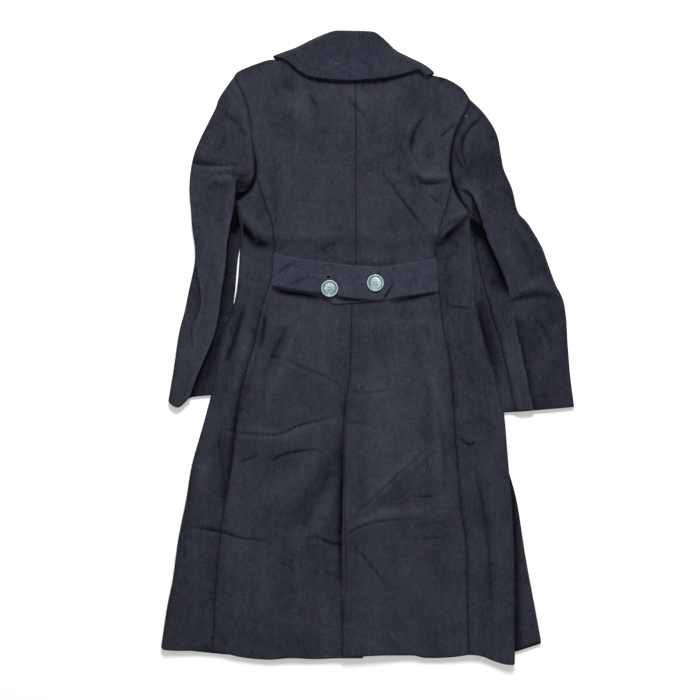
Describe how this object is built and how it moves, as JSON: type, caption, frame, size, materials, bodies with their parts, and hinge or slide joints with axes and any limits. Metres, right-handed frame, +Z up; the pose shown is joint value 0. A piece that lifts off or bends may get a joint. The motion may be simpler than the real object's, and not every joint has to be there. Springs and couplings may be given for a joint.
{
  "type": "overcoat laid flat, back up",
  "caption": "Long fitted wool overcoat laid flat with its back up: collar, half belt with buttons, centre vent and flared skirt.",
  "frame": {"origin": "on the floor, under the middle of the coat's bounding box", "axes": "+Y from the hem towards the collar, +X towards the wearer's right, +Z up out of the coat's back"},
  "size_m": [0.745, 1.14, 0.0235],
  "materials": {
    "wool": "matte milled wool, dark navy",
    "buttons": "marbled grey-green, polished"
  },
  "bodies": {
    "root": {"back_left": "wool", "back_right": "wool", "side_left": "wool", "side_right": "wool", "front_left": "wool", "front_right": "wool", "sleeve_left_upper": "wool", "sleeve_left_under": "wool", "sleeve_right_upper": "wool", "sleeve_right_under": "wool", "collar": "wool", "belt_left": "wool", "belt_right": "wool", "button_left": "buttons", "button_right": "buttons"}
  },
  "joints": []
}
